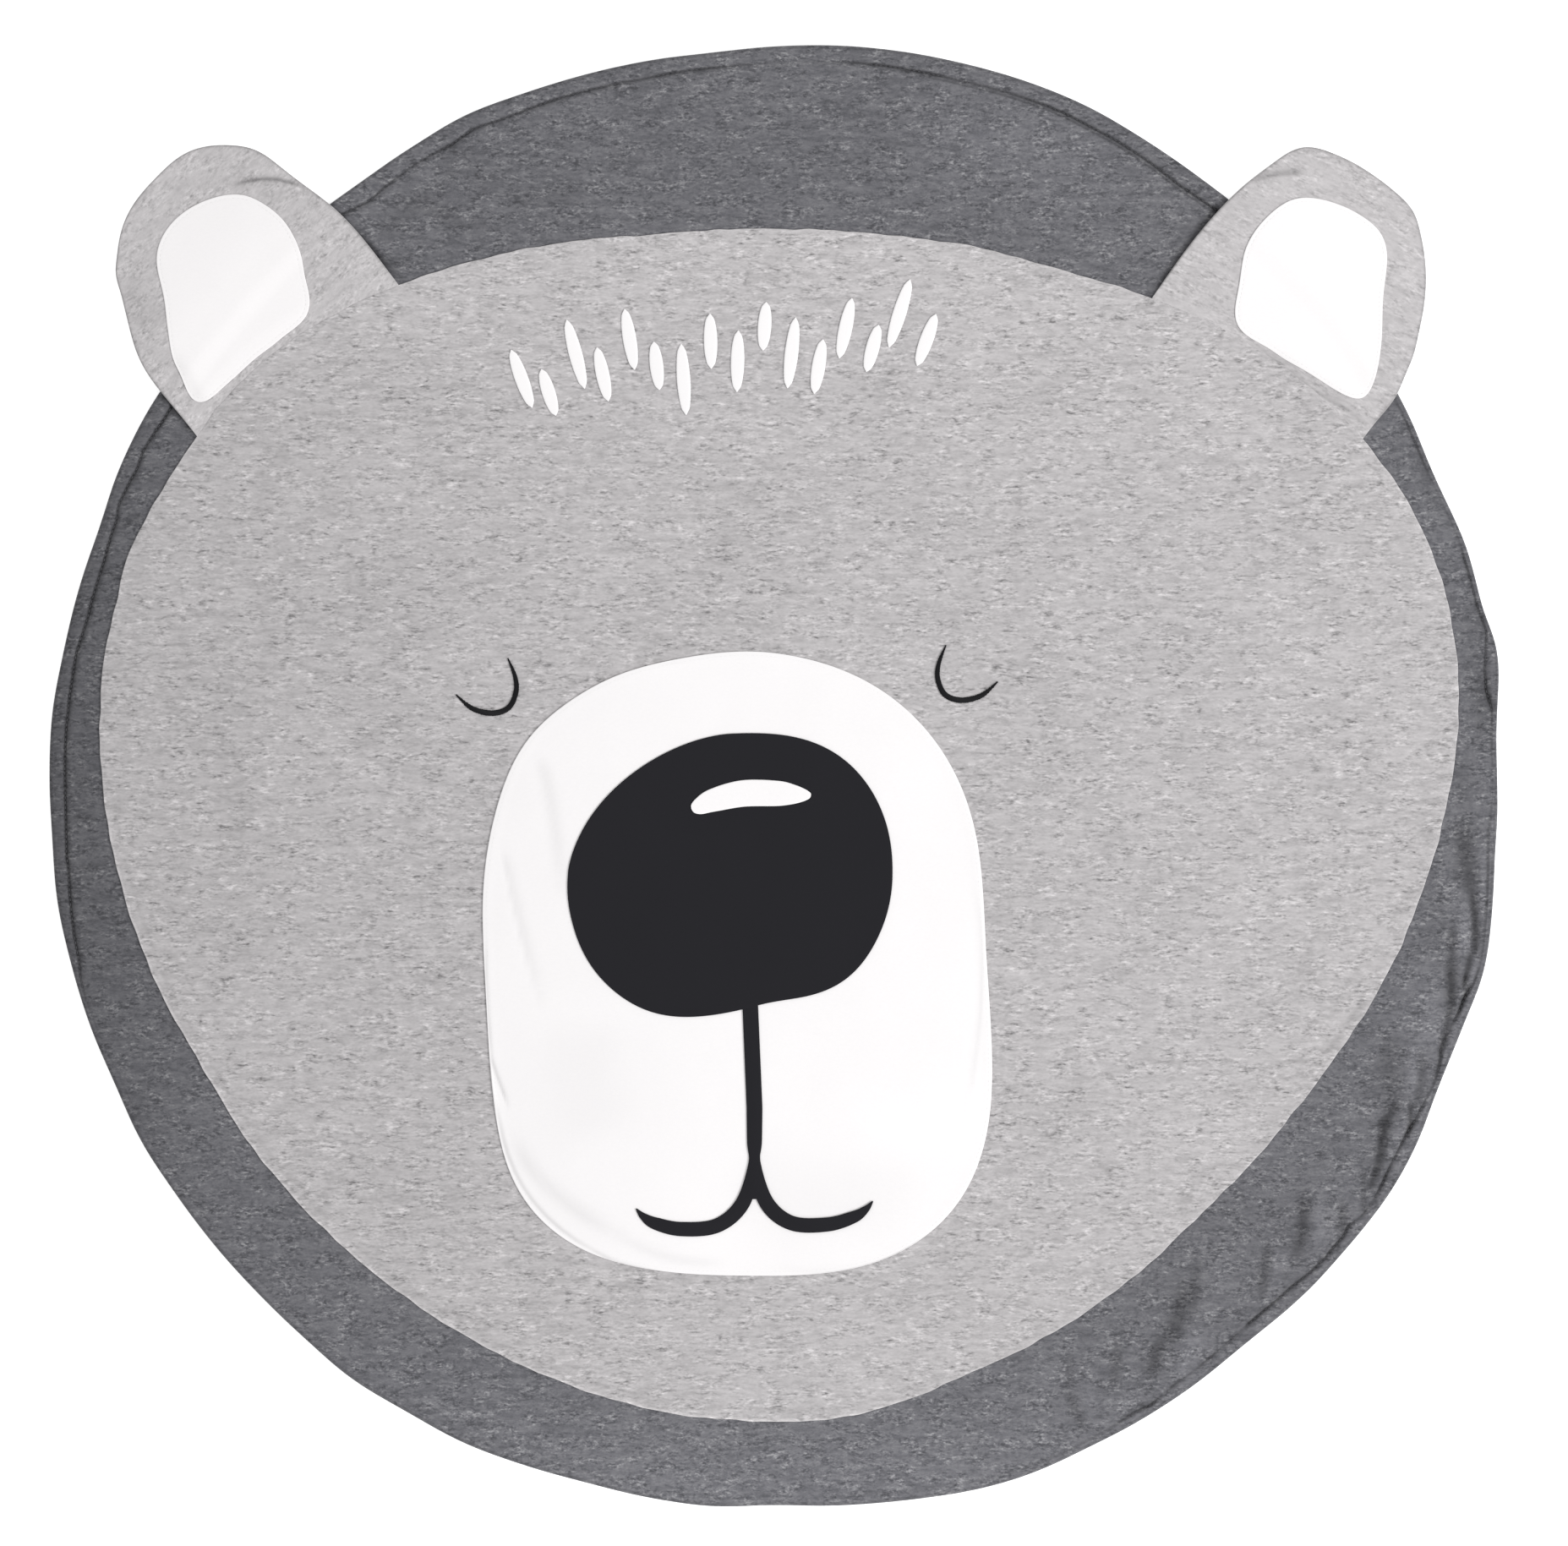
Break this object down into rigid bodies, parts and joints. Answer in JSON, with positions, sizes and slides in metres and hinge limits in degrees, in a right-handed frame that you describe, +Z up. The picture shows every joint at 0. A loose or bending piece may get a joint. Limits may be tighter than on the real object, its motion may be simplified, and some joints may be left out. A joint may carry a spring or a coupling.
{
  "type": "bear shaped kids rug",
  "caption": "Round flat play mat in dark marl jersey, with a sleeping bear's face sewn on in light marl, white and black cloth, and ears that stand out past the rim.",
  "frame": {"origin": "on the floor under the middle of the round mat, on the mat's flat underside", "axes": "+X to the right of the face as it is looked at, +Y to the top of the head, +Z up through the cloth"},
  "size_m": [0.8985, 0.9054, 0.0082],
  "materials": {
    "dark_marl_jersey": "matt dark grey marl knit",
    "light_marl_jersey": "matt light grey marl knit",
    "white_jersey": "matt white cotton knit",
    "black_jersey": "matt black cotton knit",
    "black_satin_stitch": "soft sheen of close black thread",
    "white_satin_stitch": "soft sheen of close white thread"
  },
  "bodies": {
    "root": {"mat": "dark_marl_jersey", "head_panel": "light_marl_jersey", "ear_left": "light_marl_jersey", "ear_right": "light_marl_jersey", "inner_ear_left": "white_jersey", "inner_ear_right": "white_jersey", "muzzle": "white_jersey", "nose": "black_jersey", "nose_highlight": "white_jersey", "mouth": "black_jersey", "eye_left": "black_satin_stitch", "eye_right": "black_satin_stitch", "tuft_01": "white_satin_stitch", "tuft_02": "white_satin_stitch", "tuft_03": "white_satin_stitch", "tuft_04": "white_satin_stitch", "tuft_05": "white_satin_stitch", "tuft_06": "white_satin_stitch", "tuft_07": "white_satin_stitch", "tuft_08": "white_satin_stitch", "tuft_09": "white_satin_stitch", "tuft_10": "white_satin_stitch", "tuft_11": "white_satin_stitch", "tuft_12": "white_satin_stitch", "tuft_13": "white_satin_stitch", "tuft_14": "white_satin_stitch", "tuft_15": "white_satin_stitch", "tuft_16": "white_satin_stitch"}
  },
  "joints": []
}
